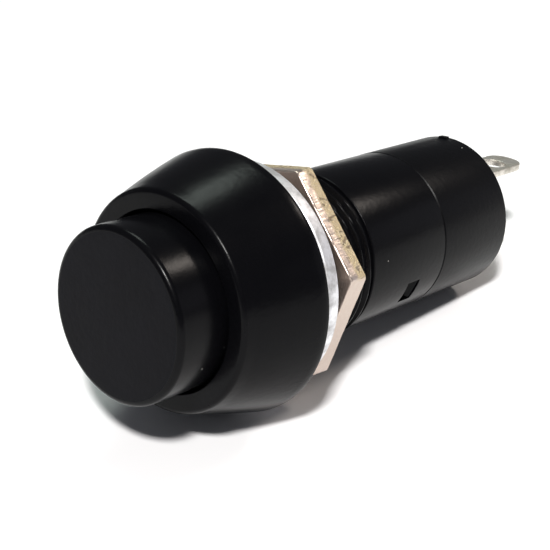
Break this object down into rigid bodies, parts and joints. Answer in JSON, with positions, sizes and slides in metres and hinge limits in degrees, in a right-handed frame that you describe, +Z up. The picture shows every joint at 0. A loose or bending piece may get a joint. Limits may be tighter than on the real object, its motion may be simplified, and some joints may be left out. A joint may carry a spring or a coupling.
{
  "type": "push button switch",
  "caption": "Round panel-mount momentary push button: flared bezel, domed-edge cap, threaded bushing with hexagon nut and washer, round body and two solder lugs.",
  "frame": {"origin": "on the button's axis, in the plane where the bezel's rim sits on the panel", "axes": "+Y along the axis, from the cap towards the solder lugs; +Z up; +X to the right of someone facing the panel"},
  "size_m": [0.018, 0.0437, 0.018],
  "materials": {
    "moulded_black": "moulded black, semi-gloss",
    "cap_black": "moulded black, gloss side and satin face",
    "base_black": "moulded black, satin",
    "stem_natural": "natural acetal",
    "spring_steel": "drawn wire",
    "contact_brass": "stamped strip",
    "contact_silver": "silver alloy",
    "tinned_brass": "tin-plated, dull",
    "washer_plate": "bright nickel or zinc plate",
    "nut_plate": "stamped, thin nickel plate over brass"
  },
  "bodies": {
    "housing": {"front_housing": "moulded_black", "rear_base": "base_black", "terminal_upper": "tinned_brass", "terminal_lower": "tinned_brass", "fixed_contact_upper": "contact_silver", "fixed_contact_lower": "contact_silver", "return_spring": "spring_steel"},
    "button": {"button_cap": "cap_black", "plunger": "stem_natural", "stem_retainer": "spring_steel", "contact_spring": "spring_steel"},
    "bridge": {"contact_bridge": "contact_brass", "bridge_tip_upper": "contact_silver", "bridge_tip_lower": "contact_silver"},
    "washer": {"mounting_washer": "washer_plate"},
    "nut": {"mounting_nut": "nut_plate"}
  },
  "joints": [
    {"name": "button_press", "type": "slide", "parent": "housing", "child": "button", "axis": [0, 1, 0], "range_m": [0, 0.0025], "stiffness_N_per_m": 500, "springref_m": -0.0024, "deforming": ["return_spring", "contact_spring"]},
    {"name": "bridge_lag", "type": "slide", "parent": "button", "child": "bridge", "axis": [0, 1, 0], "range_m": [-0.0007, 0]},
    {"name": "washer_travel", "type": "slide", "parent": "housing", "child": "washer", "axis": [0, 1, 0], "range_m": [-0.00104, 0.00337]},
    {"name": "nut_spin", "type": "hinge", "parent": "washer", "child": "nut", "pos_m": [0, 0, 0], "axis": [0, 1, 0], "range_deg": [-500.01, 1620.01]}
  ],
  "couplings": [
    {"joint": "bridge_lag", "follows": "button_press", "ratio": -0.28},
    {"joint": "nut_spin", "follows": "washer_travel", "rad_per_m": 8377.6}
  ]
}
